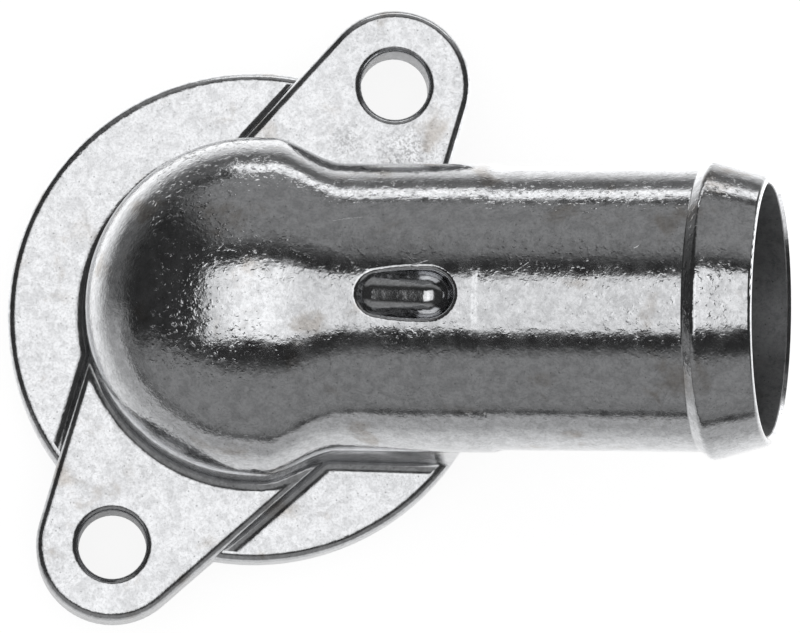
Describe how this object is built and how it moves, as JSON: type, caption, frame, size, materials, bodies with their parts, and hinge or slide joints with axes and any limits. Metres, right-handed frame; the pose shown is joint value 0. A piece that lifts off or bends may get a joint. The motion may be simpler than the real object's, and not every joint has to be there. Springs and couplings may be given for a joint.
{
  "type": "coolant water outlet",
  "caption": "Cast coolant water outlet: round flange with diagonal bolt ears, domed elbow, and an inclined neck that ends in a beaded hose spigot.",
  "frame": {"origin": "centre of the flange, midway between the two bolt holes, on the machined mating face", "axes": "+Z leads out of the mating face through the casting, away from the engine; +X is the way the neck points, seen from above; +Y completes the frame. The part lies on its mating face at z = 0."},
  "size_m": [0.0974, 0.0774, 0.0484],
  "materials": {
    "cast_aluminium": "die-cast, bare, finely mottled"
  },
  "bodies": {
    "root": {"outlet_casting": "cast_aluminium"}
  },
  "joints": []
}
